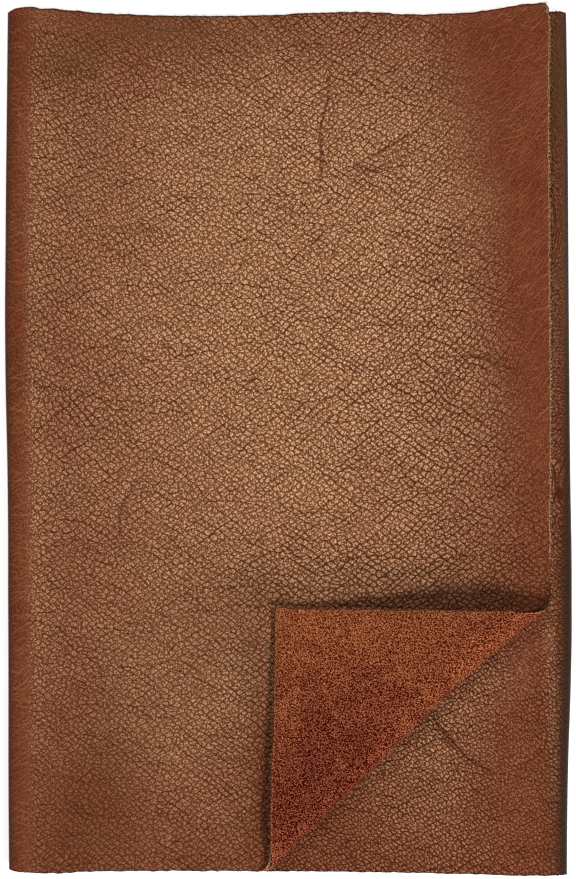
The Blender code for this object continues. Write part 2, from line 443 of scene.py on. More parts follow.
def flat_grid():
    """A plain grid mesh, and the place of each of its points in the cut."""
    ahead = np.concatenate([np.linspace(a, b, n, endpoint=False) for a, b, n in STRETCHES])
    columns = len(ahead) + TOP_STEPS
    bm = bmesh.new()
    bmesh.ops.create_grid(bm, x_segments=columns, y_segments=ROWS, size=0.5)
    mesh = mesh_of(bm, "leather_sheet")
    spots = numbers(mesh.vertices, "co", 3)
    column = np.round((spots[:, 0] + 0.5) * columns).astype(int)
    row = np.round((spots[:, 1] + 0.5) * ROWS) / ROWS

    height = (row - 0.5) * 2 * FREE_EDGE[0][0]
    left, _ = fold_faces(height)
    free = read(FREE_EDGE, 1, height) - left + LEFT_QUARTER
    share = (column - len(ahead)) / TOP_STEPS
    along = np.where(share < 0, ahead[np.minimum(column, len(ahead) - 1)],
                     LEFT_QUARTER + (free - LEFT_QUARTER) * share)
    low, high = read(CUT_EDGES, 1, along), read(CUT_EDGES, 2, along)
    across = low + (high - low) * row

    outward = np.zeros((len(spots), 2))
    outward[:, 0] = (column == columns).astype(float) - (column == 0)
    outward[:, 1] = (row == 1).astype(float) - (row == 0)
    waver = np.random.default_rng(WAVER_SEED).normal(0, UNEVEN, len(spots))
    flat = np.column_stack((along, across)) + outward * waver[:, None]
    return mesh, flat, outward


sheet_mesh, flat, outward = flat_grid()
print(len(flat), "points in the grid, cut from", flat.min(axis=0).round(1), "to", flat.max(axis=0).round(1))


# %% Fold it and give it its thickness
def placed(points):
    """Metre positions of points of the cut."""
    return np.column_stack(place(points[:, 0], points[:, 1])) * MM


sheet_mesh.vertices.foreach_set("co", placed(flat).ravel())
draft = add_object("draft_sheet", sheet_mesh)
thick = draft.modifiers.new("Thickness", "SOLIDIFY")
thick.thickness = THICKNESS * MM
thick.offset = 0
for material_name in ("grain side", "suede side", "cut edge"):
    sheet_mesh.materials.append(bpy.data.materials.new(material_name))
thick.material_offset = 1
thick.material_offset_rim = 2
hide = plain_mesh(draft, "leather_sheet")

count = len(flat)
points = numbers(hide.data.vertices, "co", 3)
middle = (points[:count] + points[count:]) / 2
print("thickness laid", round(float(np.abs(middle - placed(flat)).max() / MM), 3), "mm off at most")

# %% Lean the cut edge
FREE_LEAN = 0.90  # mm by which the suede side stands out past the grain side on the free edge
TOP_LEAN = 0.45  # mm by which the grain side is cut short on the top edge
BOTTOM_LEAN = -0.45  # on the bottom edge it is the suede side that is cut short
CORNER_LEAN = -0.45  # and so it is on the free edge of the turned corner
EASE_IN = 6.0
SHARP = math.radians(50)  # an edge that turns by more is not smoothed
LEANS_ABOVE = 12.0  # mm above the corner's fold where the free edge starts to lean
ROLL_BELOW = 20.0  # mm below the corner's fold where its roll is over


def eased_past(distance, start):
    """0 up to the start, and 1 from EASE_IN millimetres past it."""
    return np.clip((distance - start) / EASE_IN, 0, 1)


at_edge = np.any(outward != 0, axis=1)
edge_flat = flat[at_edge]
edge_out = outward[at_edge]
above_roll = eased_past(edge_flat[:, 1] - CORNER_A[1], LEANS_ABOVE)
below_roll = eased_past(CORNER_A[1] - edge_flat[:, 1], ROLL_BELOW)
lean_across = np.where(edge_out[:, 1] > 0, TOP_LEAN, BOTTOM_LEAN) * edge_out[:, 1]
lean_along = np.where(edge_out[:, 0] > 0, FREE_LEAN * above_roll + CORNER_LEAN * below_roll, 0)
lean = placed(edge_flat + np.column_stack((lean_along, lean_across))) - placed(edge_flat)
on_top_edge = edge_out[:, 1:] > 0
points[:count][at_edge] -= lean * on_top_edge
points[count:][at_edge] += lean * ~on_top_edge
hide.data.vertices.foreach_set("co", points.ravel())
hide.data.shade_smooth()
hide.data.set_sharp_from_angle(angle=SHARP)
hide.data.update()
print(int(at_edge.sum()), "points on the cut edge")

# %% [markdown]
# ## Two maps of the cut
#
# The grain follows the leather round its folds, so the finish reads the flat cut, kept as a UV map in
# metres. Object coordinates would do on a flat sheet, but here the pebbles would smear down the rolls.
# A second map lays the grain side, the rim and the suede side out flat in one square with no overlap.

# %% Lay the maps
GRAIN, SUEDE, RIM = 0, 1, 2
MAP_GAP = 4.0  # mm between the two sides in the square map

corners = numbers(hide.data.loops, "vertex_index", kind=int)
sides = numbers(hide.data.polygons, "material_index", kind=int)
sizes = numbers(hide.data.polygons, "loop_total", kind=int)
side_of_corner = np.repeat(sides, sizes)

base = corners % count
past_rim = (side_of_corner == RIM) & (corners >= count)
on_cut = flat[base] + outward[base] * (THICKNESS * past_rim)[:, None]
cut_map = hide.data.uv_layers.new(name="cut")
cut_map.data.foreach_set("uv", (on_cut * MM).ravel())

low, high = on_cut.min(axis=0) - MAP_GAP, on_cut.max(axis=0) + MAP_GAP
span = high - low
square = (on_cut - low) / (span[0], 2 * span[1])
square[side_of_corner == SUEDE, 1] += 0.5
bake_map = hide.data.uv_layers.new(name="OFBake")
bake_map.data.foreach_set("uv", square.ravel())
print("square map spans", square.min(axis=0).round(3), "to", square.max(axis=0).round(3))

# %% [markdown]
# ## Tone
#
# Drum-dyed leather is not one colour. The middle of this sheet is tan, partly its own tone and partly a
# painted sheen, and handling has left its folds and its right side smoother and a dark red-brown, partly
# painted shade, with olive and red patches between.
# A texture could be painted by hand, but soft patches in a short table do the same and can be changed.
# Each point of the mesh keeps how tan, how smooth and how olive it is, how much light and shade is painted on
# its suede, and whether it lies on the cut edge, where fibres stand out and a dark outline of painted shade
# runs along the grain side.

# %% Patches: x, y, half length, half width, turn in degrees, amount
# Tan is partly the leather's own tone and partly painted light: the broad patch in the middle and the one
# along the left fold are a painted sheen, and the dark patches on the right and just above and left of the
# turned corner are painted shade.
TOP_TAN_SHEEN = (
    (5.0, 60.0, 110.0, 62.0, 90.0, 0.58),
    (-77.0, -135.0, 35.0, 24.0, 70.0, -0.35),
    (-20.0, 150.0, 120.0, 28.0, 0.0, -0.32),
    (-25.0, -148.0, 60.0, 22.0, 0.0, -0.25),
    (-10.0, -105.0, 50.0, 4.0, 90.0, -0.25),
    (-45.0, -85.0, 45.0, 25.0, 90.0, 0.12),
    (95.0, 60.0, 115.0, 20.0, 90.0, -0.80),
    (80.0, 135.0, 45.0, 32.0, 60.0, -0.30),
    (35.0, -58.0, 70.0, 6.0, 0.0, -0.18),
    (70.0, -40.0, 36.0, 12.0, 0.0, -0.08),
    (-94.0, 0.0, 150.0, 9.0, 90.0, 0.20),
    (-84.0, 90.0, 60.0, 10.0, 90.0, 0.08),
    (46.0, 108.0, 40.0, 14.0, 90.0, 0.15),
    (-78.0, -70.0, 30.0, 12.0, 90.0, -0.12),
    (-35.0, -142.0, 45.0, 9.0, 0.0, 0.06),
    (-82.0, 24.0, 34.0, 12.0, 90.0, -0.12),
)
MIDDLE_TAN_SHEEN = (
    (66.0, -92.0, 24.0, 13.0, 50.0, 0.22),
    (50.0, -125.0, 30.0, 20.0, 75.0, 0.30),
    (93.5, 10.0, 60.0, 3.0, 90.0, 0.25),
    (93.5, -90.0, 60.0, 2.5, 92.0, 0.35),
    # painted light along the turned corner's fold, where the roll shades the middle third
    (48.0, -105.0, 60.0, 6.0, 44.0, 0.12),
)
TOP_SMOOTH = (
    (92.0, 120.0, 50.0, 26.0, 90.0, 1.3),
    (90.0, 150.0, 30.0, 30.0, 90.0, 0.8),
    (94.0, 48.0, 72.0, 15.0, 90.0, 1.1),
    (-72.0, 150.0, 40.0, 9.0, 170.0, 0.6),
)
MIDDLE_SMOOTH = (
    (84.0, -78.0, 24.0, 7.0, 75.0, 0.45),
    (82.0, -125.0, 30.0, 12.0, 100.0, 0.30),
)
# The olive patches just above and left of the turned corner are partly painted shade, where the corner's
# shadow falls.
TOP_OLIVE = (
    (-76.0, 134.0, 14.0, 6.0, 10.0, 0.45),
    (-40.0, -80.0, 40.0, 25.0, 60.0, 0.25),
    (-75.0, -135.0, 40.0, 22.0, 70.0, 0.25),
    (-45.0, 146.0, 40.0, 6.0, 175.0, 0.30),
    (35.0, -52.0, 60.0, 9.0, 0.0, 0.30),
    (-14.0, -95.0, 45.0, 6.0, 90.0, 0.25),
    (-35.0, -142.0, 45.0, 9.0, 0.0, 0.15),
)
# The olive patches along the right fold darken it towards its outer face: partly painted shade.
MIDDLE_OLIVE = (
    (97.0, 132.0, 34.0, 6.0, 90.0, 1.0),
    (97.0, 60.0, 40.0, 4.0, 90.0, 0.6),
    (99.0, -60.0, 60.0, 1.6, 90.0, 0.7),
)
TOP_RELIEF = (
    (40.0, -50.0, 55.0, 12.0, 0.0, 0.6),
    (-12.0, -105.0, 50.0, 9.0, 90.0, 0.35),
    (45.0, 20.0, 70.0, 30.0, 80.0, 0.25),
    (-82.0, -125.0, 40.0, 14.0, 90.0, -0.15),
)
# Painted light and shade on the suede: lighter along the turned corner's top and upper left, darker towards
# its bottom.
SUEDE_PAINTED_LIGHT = (
    (0.0, -62.0, 35.0, 14.0, 0.0, 0.30),
    (40.0, -72.0, 22.0, 12.0, 20.0, 0.10),
    (0.0, -98.0, 16.0, 9.0, 60.0, 0.12),
    (60.0, -60.0, 14.0, 4.0, 10.0, 0.15),
    (10.0, -122.0, 36.0, 22.0, 60.0, -0.22),
)

# %% Tones that the patches are added to
TOP_TAN_SHEEN_BASE = 0.42
MIDDLE_TAN_SHEEN_BASE = 0.11
MIDDLE_RELIEF = 1.45
SUEDE_BASE = 0.28

left, _ = fold_faces(flat[:, 1])
on_top = flat[:, 0] >= LEFT_QUARTER
on_middle = flat[:, 0] <= BOTTOM_ENDS
rest_x, rest_y, _ = middle.T / MM
top_x = left + flat[:, 0] - LEFT_QUARTER
turned_x, _, _ = turn_corner(top_x, flat[:, 1])
on_flap = on_top & (np.abs(turned_x - top_x) > 0)
print(int(on_flap.sum()), "points on the turned corner and its roll")


def painted(top_patches, middle_patches, top_base, middle_base):
    """A tone read from the patches of the third that each point is on."""
    top_tone = top_base + swell(top_patches, rest_x, rest_y)
    middle_tone = middle_base + swell(middle_patches, rest_x, rest_y)
    return np.clip(np.where(on_middle, middle_tone, top_tone), 0, 1)


# %% Tones of the folds, where handling has smoothed the leather and painted shade darkens it as it turns from the light
LEFT_BAND_FADES = 4.0  # mm past the left fold over which its smooth band fades
RIGHT_BAND_FROM = 1.0  # mm into the right fold where its band starts
RIGHT_BAND_GROWS = 3.0  # mm further over which it grows
# Both bands lose tan: painted shade, where the folds turn away from the light.
BAND_SHADE = 0.7  # share of the tan that both bands lose
# The dark called burnish at each fold's tip is painted shade, where the leather turns furthest from the
# light.
LEFT_FOLD_SHADE = 2.6  # mm to each side of the fold's tip that is burnished dark
RIGHT_FOLD_SHADE = (6.6, 3.2)  # mm, the same at the lower and upper part of the right fold
RIGHT_CHANGES = (-50.0, 50.0)  # across, where the lower part ends and the upper part starts

left_band = 1 - np.clip((np.abs(flat[:, 0]) - LEFT_QUARTER) / LEFT_BAND_FADES, 0, 1)
into_right = flat[:, 0] - MIDDLE_STARTS - RIGHT_BAND_FROM
right_band = np.clip(into_right / RIGHT_BAND_GROWS, 0, 1) * (flat[:, 0] < BOTTOM_ENDS)
band = np.maximum(left_band, right_band)
from_left_tip = np.abs(flat[:, 0]) / LEFT_FOLD_SHADE
from_right_tip = np.abs(flat[:, 0] - (BOTTOM_ENDS + MIDDLE_STARTS) / 2)
from_right_tip = from_right_tip / np.interp(flat[:, 1], RIGHT_CHANGES, RIGHT_FOLD_SHADE)
fold_shade = np.exp(-(np.minimum(from_left_tip, from_right_tip) ** 2))

# %% Tones of the faces and of the cut edge
RELIEF_LIMIT = 2
LIGHT_ABOVE = 6.0  # mm above the corner's fold where the free edge starts to be light

tan_sheen = painted(TOP_TAN_SHEEN, MIDDLE_TAN_SHEEN, TOP_TAN_SHEEN_BASE, MIDDLE_TAN_SHEEN_BASE) * (1 - BAND_SHADE * band)
smooth = np.maximum(painted(TOP_SMOOTH, MIDDLE_SMOOTH, 0, 0), band)
olive = painted(TOP_OLIVE, MIDDLE_OLIVE, 0, 0)
relief = np.where(on_middle, MIDDLE_RELIEF, 1 + swell(TOP_RELIEF, rest_x, rest_y))
relief = np.clip(relief, 0, RELIEF_LIMIT)
suede_painted_light = np.clip(SUEDE_BASE + swell(SUEDE_PAINTED_LIGHT, rest_x, rest_y), 0, 1)

above_corner = flat[:, 1] - CORNER_A[1]
beside_roll = np.maximum(eased_past(above_corner, LIGHT_ABOVE), eased_past(-above_corner, ROLL_BELOW))
rim_light = np.maximum((outward[:, 0] > 0) * beside_roll, (outward[:, 1] < 0) & on_flap)
fringe = at_edge & on_flap
# The top and bottom cut edges get a dark outline of painted shade on the grain side.
border_shade = (outward[:, 1] != 0) & ~on_flap

# %% Where the lines of the creases are drawn
CREASE_LINE_FADES = 1.2  # mm over which a line fades towards the end of its reach

_, top_gap, top_dark = crease_field(TOP_CREASES, rest_x, rest_y)
_, middle_gap, middle_dark = crease_field(MIDDLE_CREASES, rest_x, rest_y)
crease_gap = np.where(on_middle, middle_gap, top_gap)
crease_dark = np.where(on_middle, middle_dark, top_dark) * (on_middle | (on_top & ~on_flap))
near_crease = np.clip((CREASE_REACH - np.abs(crease_gap)) / CREASE_LINE_FADES, 0, 1)
crease_dark = crease_dark * near_crease

# %% Keep the tones on the mesh
TONES = {
    "tan_sheen": tan_sheen,
    "smooth": smooth,
    "olive": olive,
    "relief": relief,
    "fold_shade": fold_shade,
    "rim_light": rim_light,
    "suede_painted_light": suede_painted_light,
    "fringe": fringe,
    "border_shade": border_shade,
    "crease_gap": crease_gap,
    "crease_dark": crease_dark,
}
for tone_name, values in TONES.items():
    layer = hide.data.attributes.new(tone_name, "FLOAT", "POINT")
    layer.data.foreach_set("value", np.tile(values, 2))
through = hide.data.attributes.new("through", "FLOAT", "POINT")
through.data.foreach_set("value", np.repeat((0.0, 1.0), count))
print("tones kept on the mesh:", ", ".join(TONES), "and how far through the leather each point is")

# %% [markdown]
# ## Writing a finish as sums
#
# Nodes can be wired by hand, one line for each link, but then the idea of a pattern is lost among the
# links. Here a small class wraps a socket, so that plain sums add Math nodes, and one method adds any other
# node.


# %% Wires and node trees
class Wire:
    """A number in a node tree. Sums written with it add Math nodes."""

    def __init__(self, nodes, socket):
        self.nodes = nodes
        self.socket = socket

    def math(self, operation, *numbers):
        node = self.nodes.add("ShaderNodeMath", {"operation": operation}, dict(enumerate(numbers)))
        return Wire(self.nodes, node.outputs[0])

    def __add__(self, other):
        return self.math("ADD", self, other)

    def __sub__(self, other):
        return self.math("SUBTRACT", self, other)

    def __rsub__(self, other):
        return self.math("SUBTRACT", other, self)

    def __mul__(self, other):
        return self.math("MULTIPLY", self, other)

    def __truediv__(self, other):
        return self.math("DIVIDE", self, other)

    def __abs__(self):
        return self.math("ABSOLUTE", self)

    __radd__ = __add__
    __rmul__ = __mul__


class Nodes:
    """A node tree that is being built."""

    def __init__(self, tree):
        self.tree = tree

    def feed(self, socket, value):
        """Gives a socket a value, or a link from another node."""
        source = value.socket if isinstance(value, Wire) else value
        if isinstance(source, bpy.types.NodeSocket):
            self.tree.links.new(source, socket)
        else:
            socket.default_value = source

    def add(self, kind, settings=None, sockets=None):
        """Adds a node: its settings first, then the values or links of its sockets."""
        node = self.tree.nodes.new(kind)
        for name, value in (settings or {}).items():
            setattr(node, name, value)
        for name, value in (sockets or {}).items():
            self.feed(node.inputs[name], value)
        return node


# %% A finish, and the patterns that it can read
class Finish(Nodes):
    """A material: its patterns, its mixes of colour, and one shader at the end."""

    def __init__(self, material):
        material.use_nodes = True
        super().__init__(material.node_tree)
        self.tree.nodes.clear()
        self.shader = self.add("ShaderNodeBsdfPrincipled")
        self.add("ShaderNodeOutputMaterial", None, {"Surface": self.shader.outputs[0]})

    def set(self, sockets):
        """Sets the shader's sockets."""
        for name, value in sockets.items():
            self.feed(self.shader.inputs[name], value)

    def tone(self, name):
        """One of the tones that the mesh keeps."""
        return Wire(self, self.add("ShaderNodeAttribute", {"attribute_name": name}).outputs["Fac"])

    def flat_cut(self):
        """The place in the flat cut, in millimetres."""
        metres = self.add("ShaderNodeUVMap", {"uv_map": "cut"}).outputs[0]
        return self.vector("MULTIPLY", metres, (1 / MM, 1 / MM, 0.0))

    def vector(self, operation, first, second):
        node = self.add("ShaderNodeVectorMath", {"operation": operation}, {0: first, 1: second})
        return node.outputs[0]

    def join(self, x, y):
        return self.add("ShaderNodeCombineXYZ", None, {0: x, 1: y}).outputs[0]

    def split(self, vector):
        node = self.add("ShaderNodeSeparateXYZ", None, {0: vector})
        return Wire(self, node.outputs[0]), Wire(self, node.outputs[1])

    def noise(self, vector, size, detail, output="Fac"):
        """Soft noise with lumps of a size: one number near 0.5, or three of them as a colour."""
        sockets = {"Vector": vector, "Scale": 1 / size, "Detail": detail}
        node = self.add("ShaderNodeTexNoise", {"noise_dimensions": "2D"}, sockets)
        return Wire(self, node.outputs[output])

    def cells(self, vector, feature, randomness):
        """Voronoi cells, one for each step of the vector."""
        settings = {"voronoi_dimensions": "2D", "feature": feature}
        sockets = {"Vector": vector, "Scale": 1.0, "Randomness": randomness}
        return self.add("ShaderNodeTexVoronoi", settings, sockets)

    def specks(self, x, y):
        """One soft bright speck in each cell, some brighter than others."""
        cell = self.cells(self.join(x, y), "F1", 1.0)
        near = 1 - self.ease(cell.outputs["Distance"], 0.10, 0.50)
        return near * Wire(self, cell.outputs["Color"])

    def ease(self, value, start, end, low=0.0, high=1.0):
        """Runs softly from low to high as value goes from start to end."""
        sockets = {"Value": value, "From Min": start, "From Max": end, "To Min": low, "To Max": high}
        node = self.add("ShaderNodeMapRange", {"interpolation_type": "SMOOTHSTEP"}, sockets)
        return Wire(self, node.outputs[0])

    def mix(self, share, first, second):
        """From the first colour to the second by a share, held between 0 and 1."""
        sockets = {"Factor": share, 6: first, 7: second}
        return self.add("ShaderNodeMix", {"data_type": "RGBA", "clamp_factor": True}, sockets).outputs[2]

    def bump(self, height, distance):
        return self.add("ShaderNodeBump", None, {"Height": height, "Distance": distance}).outputs[0]


# %% [markdown]
# ## The grain side
#
# Milled full-grain leather shrinks into small, rounded pebbles. They sit in slanting rows, and between some
# rows the skin has folded along a thin dark line that runs past many pebbles. Voronoi cells on a lattice
# that is turned by 45 degrees make the pebbles, and the lines follow the same lattice, so that they fit
# between the rows. The pits between the pebbles are painted with their shade and the crowns with their
# highlights. On the smooth parts the same lines are stretched skin, painted lighter than the leather round
# them as a highlight where their walls catch the light.

# %% The grain's sizes
PEBBLE_WIDE = 2.3
PEBBLE_TALL = 1.68
PEBBLE_STRAY = 0.62  # how far pebbles stray from their lattice, 0 to 1
HALF_TURN = math.sqrt(0.5)  # the rows of pebbles lie askew, at 45 degrees
FINER = 1.22  # how many times finer the pebbles of the middle third are
FINER_ALONG = (-20.0, -170.0)
ROW_WAVER = 3.4  # mm by which slow noise moves the rows
ROW_WAVER_SIZE = 13.0

# The rows curve upwards to both sides, most in the upper half
SMILE_PER_MM = 0.0026
SMILE_MIDDLE = 96.0
SMILE_GROWS = (-30.0, 90.0)
SMILE_BELOW = 0.15  # share of the curve that the lower half has

ROW_APART = 7.31  # keeps the noise of one row clear of the next
LINE_CORE = 0.35  # share of a line's half width that is at its darkest
LINE_FADES = 0.12  # how much more noise it takes to draw a line in full


# %% Where the grain runs
def bent_rows(finish, u, v):
    """The place across the rows, bent so that they run level in it."""
    from_middle = u - SMILE_MIDDLE
    share = finish.ease(v, *SMILE_GROWS, SMILE_BELOW)
    return v - from_middle * from_middle * SMILE_PER_MM * share


def lattice(finish, u, plain, bent):
    """Rows of the grain: two numbers that grow by one from each slanting row to the next."""
    waver = finish.noise(plain, ROW_WAVER_SIZE, 1.0, "Color")
    moved = finish.vector("MULTIPLY", waver, (ROW_WAVER, ROW_WAVER, 0.0))
    wide, tall = finish.split(finish.vector("ADD", finish.join(u, bent), moved))
    finer = finish.ease(u, *FINER_ALONG, 1.0, FINER)
    wide, tall = wide * finer / PEBBLE_WIDE * HALF_TURN, tall * finer / PEBBLE_TALL * HALF_TURN
    return wide + tall, tall - wide


def row_lines(finish, row, along, seed, half_width, start, breaks=0.10):
    """Thin lines between rows. Each row has its own stretches of line, where its noise passes the start."""
    number = row.math("FLOOR", row)
    gap = abs(row - number - 0.5)
    there = finish.noise(finish.join(number * ROW_APART + seed, along * breaks), 1.0, 0.0)
    drawn = finish.ease(there, start, start + LINE_FADES)
    return (1 - finish.ease(gap, half_width * LINE_CORE, half_width)) * drawn


# %% Pebbles and lines of the grain side
# Lines: seed of their noise, half width as a share of a row, and the noise that they start at
UP_LINES = {"seed": 3.0, "half_width": 0.13}
DOWN_LINES = {"seed": 17.0, "half_width": 0.12}
LEVEL_LINES = {"seed": 31.0, "half_width": 0.085, "start": 0.43}
LEVEL_APART = 3.3
SWAY_SIZE = 17.0

grain = Finish(hide.data.materials[GRAIN])
plain = grain.flat_cut()
u, v = grain.split(plain)
bent = bent_rows(grain, u, v)
rising, falling = lattice(grain, u, plain, bent)
grid = grain.join(rising, falling)
inside = Wire(grain, grain.cells(grid, "DISTANCE_TO_EDGE", PEBBLE_STRAY).outputs["Distance"])
own_shade = Wire(grain, grain.cells(grid, "F1", PEBBLE_STRAY).outputs["Color"])

row_shift = PEBBLE_STRAY / 2
sway = grain.noise(plain, SWAY_SIZE, 1.0)
up_start = grain.ease(u, 40.0, 170.0, 0.70, 0.44)
down_start = grain.ease(u, 10.0, 70.0, 0.68, 0.56)
up_lines = row_lines(grain, falling - row_shift, rising, start=up_start, **UP_LINES)
down_lines = row_lines(grain, rising - row_shift, falling, start=down_start, **DOWN_LINES)
level_lines = row_lines(grain, bent / LEVEL_APART + sway * 2.6, u / 3.0, **LEVEL_LINES)
line = up_lines + down_lines + level_lines
print(f"pebbles {PEBBLE_WIDE} by {PEBBLE_TALL} mm, level lines {LEVEL_APART} mm apart")

# %% Grit: fine strokes as thin as a pixel of the picture
# In the colour these strokes are painted glints and specks of shade on the pebbles; in the height they are
# small bumps.
STROKE_LONG = 0.74
STROKE_WIDE = 0.52
STROKE_SLANT = (0.64, 0.77)
GLINT_GAIN = 4.1
GLINT_BASE = 0.52

slant_x, slant_y = STROKE_SLANT
stroke_along = u * slant_x + v * slant_y
stroke_across = v * slant_x - u * slant_y
fine = grain.specks(stroke_along / STROKE_LONG, stroke_across / STROKE_WIDE)
speck_glints = fine * GLINT_GAIN - GLINT_BASE
print(f"strokes of {STROKE_LONG} by {STROKE_WIDE} mm")

# %% Height of the grain
GRAIN_DEPTH = 0.30 * MM  # the heights below are shares of it
CROWN_HIGH = 0.32
VALLEY_HIGH = 0.22
OWN_HIGH = 0.12
GRIT_HIGH = 0.12
LINE_DEEP = 0.35
CREASE_DEEP = 0.9
CREASE_WAVER = 1.6  # mm
CREASE_WAVER_SIZE = 2.2
CREASE_LINE = (0.20, 0.85)  # mm to each side that are dark, and over which the line fades

tan_sheen_tone, smooth_tone, relief_tone = grain.tone("tan_sheen"), grain.tone("smooth"), grain.tone("relief")
pebbled = 1 - smooth_tone * 0.85
valley = grain.ease(inside, 0.02, 0.14)
crown = grain.ease(inside, 0.05, 0.22)
crease_waver = grain.noise(plain, CREASE_WAVER_SIZE, 1.0) - 0.5
from_crease = abs(grain.tone("crease_gap") + crease_waver * CREASE_WAVER)
crease_line = (1 - grain.ease(from_crease, *CREASE_LINE)) * grain.tone("crease_dark")
height = crown * CROWN_HIGH + valley * VALLEY_HIGH + (own_shade - 0.5) * OWN_HIGH - line * LINE_DEEP
height = height * pebbled * relief_tone + fine * GRIT_HIGH - crease_line * CREASE_DEEP
normal = grain.bump(height, GRAIN_DEPTH)

# %% Colours of the grain side
# The pits are painted with the shade that falls between the pebbles, and the crown colours are painted
# highlights.
PIT_DARK = (0.052, 0.009, 0.003, 1.0)
PIT_TAN = (0.062, 0.014, 0.003, 1.0)
BODY_DARK = (0.118, 0.024, 0.0085, 1.0)
BODY_TAN = (0.232, 0.091, 0.034, 1.0)
GLINT_DARK = (0.310, 0.100, 0.045, 1.0)
GLINT_TAN = (0.790, 0.450, 0.255, 1.0)
OLIVE = (0.075, 0.040, 0.013, 1.0)
RED = (0.190, 0.050, 0.024, 1.0)
VEIN_HIGHLIGHT = (0.330, 0.110, 0.050, 1.0)
FOLD_SHADE_COLOUR = (0.040, 0.011, 0.004, 1.0)
OUTLINE_SHADE = (0.012, 0.006, 0.003, 1.0)
MOTTLE_SIZE = 26.0
HUE_SIZE = 15.0

# %% Colour of the pebbles, from painted shade in the pits to painted highlights on the crowns
mottle = grain.noise(plain, MOTTLE_SIZE, 3.0) - 0.5
hue = grain.noise(plain, HUE_SIZE, 2.0)
tan_sheen_share = grain.ease(tan_sheen_tone + mottle * 0.30, 0.0, 1.0)
pit = grain.mix(tan_sheen_share, PIT_DARK, PIT_TAN)
body = grain.mix(tan_sheen_share, BODY_DARK, BODY_TAN)
body = grain.mix(grain.ease(hue, 0.55, 0.75) * 0.30, body, RED)
body = grain.mix(grain.ease(hue, 0.42, 0.28) * 0.15, body, OLIVE)
top = grain.mix(tan_sheen_share, GLINT_DARK, GLINT_TAN)
# Painted highlights lighten the crowns and specks, and painted shade darkens the valleys and lines towards
# the pits.
contrast = 0.42 + pebbled * relief_tone * 0.58
lit = (crown * 0.80 + 0.20) * (speck_glints * 0.90 + 0.36) * pebbled + speck_glints * smooth_tone * 0.35
shaded = ((1 - valley) * 0.68 + line * 0.56) * pebbled * relief_tone
glint = (crown + smooth_tone) * speck_glints * 0.34 * contrast
colour = grain.mix(lit * contrast, body, top)
colour = grain.mix(shaded - glint, colour, pit)

# %% Painted highlights on the veins of the smooth parts, olive patches, and painted shade in the creases, at the folds' tips and along the edges
FALLING_VEINS = {"seed": 47.0, "half_width": 0.11, "start": 0.46, "breaks": 0.40}
LEVEL_VEINS = {"seed": 59.0, "half_width": 0.12, "start": 0.50, "breaks": 0.40}
LEVEL_VEINS_APART = 2.3

falling_veins = row_lines(grain, falling * 1.3 + sway * 2.0, rising, **FALLING_VEINS)
level_veins = row_lines(grain, bent / LEVEL_VEINS_APART + sway * 3.0, u / 2.0, **LEVEL_VEINS)
net = (1 - grain.ease(inside, 0.02, 0.12)) * (sway - 0.2) * 0.60
fold_shade_tone = grain.tone("fold_shade")
for share, laid_on in (
    ((net + falling_veins * 0.55 + level_veins * 0.40) * smooth_tone, VEIN_HIGHLIGHT),
    (crease_line * 0.85, PIT_DARK),
    (grain.tone("olive") * 0.80, OLIVE),
    (fold_shade_tone * 0.85, FOLD_SHADE_COLOUR),
    (grain.ease(fold_shade_tone, 0.40, 0.90) * 0.85, OUTLINE_SHADE),
    (grain.ease(grain.tone("border_shade"), 0.62, 0.92) * 0.75, OUTLINE_SHADE),
):
    colour = grain.mix(share, colour, laid_on)
grain.set({
    "Base Color": colour,
    "Roughness": 0.46 + smooth_tone * 0.16 - fine * 0.2,
    "Normal": normal,
    "Specular IOR Level": 0.15,
    "Specular Tint": (1.0, 0.60, 0.35, 1.0),
})
print("grain side:", len(grain.tree.nodes), "nodes")

# %% [markdown]
# ## The suede side
#
# The flesh side of the leather is split and buffed to a short nap. Up close it is a mat of fibres that lie
# every way, so it looks speckled, and where the hand has brushed it, lighter and darker in blotches. Light
# and shade are
# also painted on it: lighter near its top, darker towards the bottom.
# The finish draws the speckle, and short fibres stand on it further down.

# %% Finish of the suede side
SUEDE_DARK = (0.022, 0.001, 0.0, 1.0)
SUEDE_MID = (0.110, 0.011, 0.003, 1.0)
SUEDE_RUST = (0.250, 0.048, 0.010, 1.0)
SUEDE_RED = (0.700, 0.160, 0.085, 1.0)
SUEDE_PALE = (0.900, 0.300, 0.120, 1.0)
SPECK_LONG = 1.1
SPECK_WIDE = 0.63
SPECKLE_GAIN = 2.6
SPECKLE_BASE = 0.80
BLOTCH_SIZE = 9.0
SUEDE_DEPTH = 0.20 * MM

suede = Finish(hide.data.materials[SUEDE])
suede_cut = suede.flat_cut()
x, y = suede.split(suede_cut)
up, down = x + y, y - x
rising_specks = suede.specks(up / SPECK_LONG, down / SPECK_WIDE)
falling_specks = suede.specks(up / SPECK_WIDE, down / SPECK_LONG)
speckle = (rising_specks + falling_specks) * SPECKLE_GAIN - SPECKLE_BASE
blotch = suede.noise(suede_cut, BLOTCH_SIZE, 3.0) - 0.5
light = suede.tone("suede_painted_light") + blotch * 0.5
frayed = suede.ease(suede.tone("fringe"), 0.70, 0.95)
pale = suede.mix(suede.ease(light, 0.0, 0.5), SUEDE_RED, SUEDE_PALE)
rust = suede.mix(suede.ease(light, -0.15, 0.40), SUEDE_DARK, SUEDE_MID)
rust = suede.mix(suede.ease(light, 0.10, 0.75), rust, SUEDE_RUST)
rust = suede.mix(speckle * (light * 1.2 + 0.9), rust, pale)
rust = suede.mix(speckle * -1.0, rust, SUEDE_DARK)
rust = suede.mix(frayed * (speckle * 2.0 + 0.8), rust, SUEDE_PALE)
suede.set({
    "Base Color": rust,
    "Roughness": 0.95,
    "Specular IOR Level": 0.0,
    "Normal": suede.bump(speckle, SUEDE_DEPTH),
})
